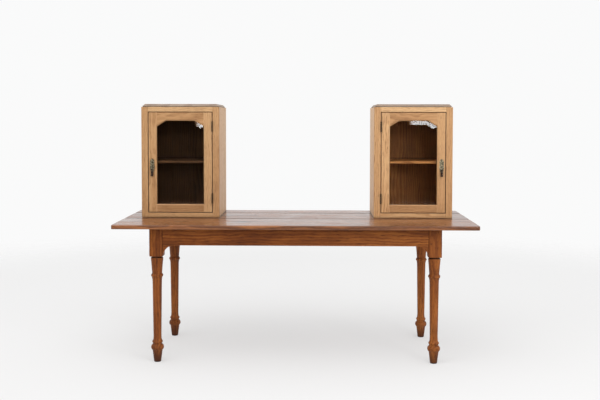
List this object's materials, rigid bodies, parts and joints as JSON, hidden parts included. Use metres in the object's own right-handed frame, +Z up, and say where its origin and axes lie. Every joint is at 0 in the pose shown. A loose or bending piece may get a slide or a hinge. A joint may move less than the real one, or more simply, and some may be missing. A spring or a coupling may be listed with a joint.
{
  "type": "communion table",
  "caption": "Long oak communion table on turned legs, with a mirror-image pair of small glazed cabinets standing on its ends.",
  "frame": {"origin": "on the floor, under the middle of the table", "axes": "+X along the table, +Y away from the front, +Z up"},
  "size_m": [1.965, 0.81, 1.417],
  "materials": {
    "table_top_oak": "satin varnish",
    "table_frame_oak": "satin varnish, darker in the grain",
    "cabinet_oak": "matt waxed golden oak",
    "case_interior_oak": "matt, unpolished",
    "bevelled_glass": "clear, polished, bevelled",
    "aged_brass": "aged, dull",
    "bronze": "dark brown patina",
    "lock_iron": "blackened"
  },
  "bodies": {
    "table": {"top_board_front": "table_top_oak", "top_board_middle": "table_top_oak", "top_board_back": "table_top_oak", "apron_front": "table_frame_oak", "apron_back": "table_frame_oak", "apron_left": "table_frame_oak", "apron_right": "table_frame_oak", "leg_front_left": "table_frame_oak", "leg_front_right": "table_frame_oak", "leg_back_left": "table_frame_oak", "leg_back_right": "table_frame_oak", "apron_brackets": "table_frame_oak", "tenon_pegs": "table_frame_oak", "top_bearers": "table_frame_oak", "left_case_side_outer": "cabinet_oak", "left_case_side_inner": "cabinet_oak", "left_case_floor": "case_interior_oak", "left_case_back": "case_interior_oak", "left_case_cap": "cabinet_oak", "left_frame_rail_top": "cabinet_oak", "left_frame_rail_bottom": "cabinet_oak", "left_frame_stile_lock": "cabinet_oak", "left_frame_stile_hinge": "cabinet_oak", "left_shelf": "case_interior_oak", "left_shelf_cleats": "case_interior_oak", "left_hinge_frame_leaves": "aged_brass", "right_case_side_outer": "cabinet_oak", "right_case_side_inner": "cabinet_oak", "right_case_floor": "case_interior_oak", "right_case_back": "case_interior_oak", "right_case_cap": "cabinet_oak", "right_frame_rail_top": "cabinet_oak", "right_frame_rail_bottom": "cabinet_oak", "right_frame_stile_lock": "cabinet_oak", "right_frame_stile_hinge": "cabinet_oak", "right_shelf": "case_interior_oak", "right_shelf_cleats": "case_interior_oak", "right_hinge_frame_leaves": "aged_brass"},
    "left_door": {"left_door_stile_lock": "cabinet_oak", "left_door_stile_hinge": "cabinet_oak", "left_door_rail_top": "cabinet_oak", "left_door_rail_bottom": "cabinet_oak", "left_door_glass": "bevelled_glass", "left_glazing_beads": "case_interior_oak", "left_hinge_door_leaves": "aged_brass", "left_escutcheon": "aged_brass", "left_lock_case": "lock_iron"},
    "left_bolt": {"left_lock_bolt": "lock_iron"},
    "left_pull": {"left_drop_pull": "bronze"},
    "right_door": {"right_door_stile_lock": "cabinet_oak", "right_door_stile_hinge": "cabinet_oak", "right_door_rail_top": "cabinet_oak", "right_door_rail_bottom": "cabinet_oak", "right_door_glass": "bevelled_glass", "right_glazing_beads": "case_interior_oak", "right_hinge_door_leaves": "aged_brass", "right_escutcheon": "aged_brass", "right_lock_case": "lock_iron"},
    "right_bolt": {"right_lock_bolt": "lock_iron"},
    "right_pull": {"right_drop_pull": "bronze"}
  },
  "joints": [
    {"name": "left_door_swing", "type": "hinge", "parent": "table", "child": "left_door", "pos_m": [-0.4835, -0.0336, 1.0815], "axis": [0, 0, 1], "range_deg": [0, 165]},
    {"name": "left_pull_swing", "type": "hinge", "parent": "left_door", "child": "left_pull", "pos_m": [-0.829, -0.0401, 1.041], "axis": [-1, 0, 0], "range_deg": [0, 100]},
    {"name": "left_bolt_throw", "type": "slide", "parent": "left_door", "child": "left_bolt", "axis": [-1, 0, 0], "range_m": [0, 0.009]},
    {"name": "right_door_swing", "type": "hinge", "parent": "table", "child": "right_door", "pos_m": [0.4835, -0.0336, 1.0815], "axis": [0, 0, 1], "range_deg": [-165, 0]},
    {"name": "right_pull_swing", "type": "hinge", "parent": "right_door", "child": "right_pull", "pos_m": [0.829, -0.0401, 1.041], "axis": [-1, 0, 0], "range_deg": [0, 100]},
    {"name": "right_bolt_throw", "type": "slide", "parent": "right_door", "child": "right_bolt", "axis": [1, 0, 0], "range_m": [0, 0.009]}
  ]
}
